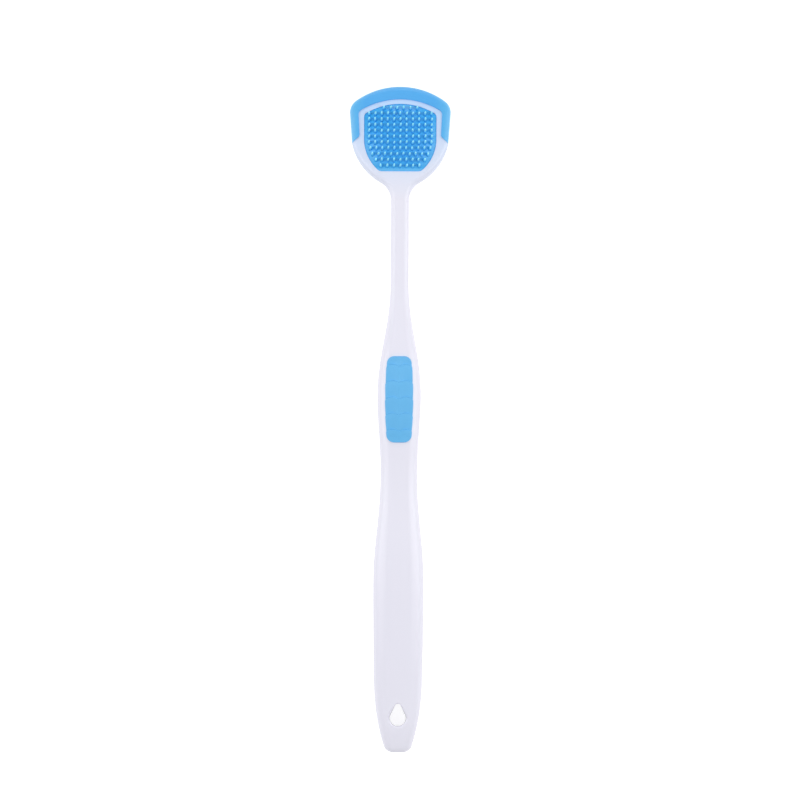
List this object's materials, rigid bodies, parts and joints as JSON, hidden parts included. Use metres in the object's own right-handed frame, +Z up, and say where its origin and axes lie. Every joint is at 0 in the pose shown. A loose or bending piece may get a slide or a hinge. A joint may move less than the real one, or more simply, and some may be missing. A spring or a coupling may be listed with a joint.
{
  "type": "tongue scraper",
  "caption": "Long slim white plastic handle with a flared flat head, a soft blue scraping lip round the head, a soft nub pad inside it, a stepped thumb grip and a hanging hole.",
  "frame": {"origin": "middle of the object's bounding box on the plane that the back of the handle rests on", "axes": "+Y along the tool towards its head, +X across it, +Z up out of the nubs and the thumb grip"},
  "size_m": [0.028, 0.185, 0.0092],
  "materials": {
    "white_plastic": "glossy white polypropylene with a faint cool tint",
    "blue_lip": "satin sky-blue soft thermoplastic elastomer",
    "blue_nubs": "satin, slightly translucent sky-blue soft thermoplastic elastomer",
    "blue_grip": "matt sky-blue soft thermoplastic elastomer"
  },
  "bodies": {
    "root": {"handle": "white_plastic", "scraper_lip": "blue_lip", "nub_pad": "blue_nubs", "thumb_grip": "blue_grip"}
  },
  "joints": []
}
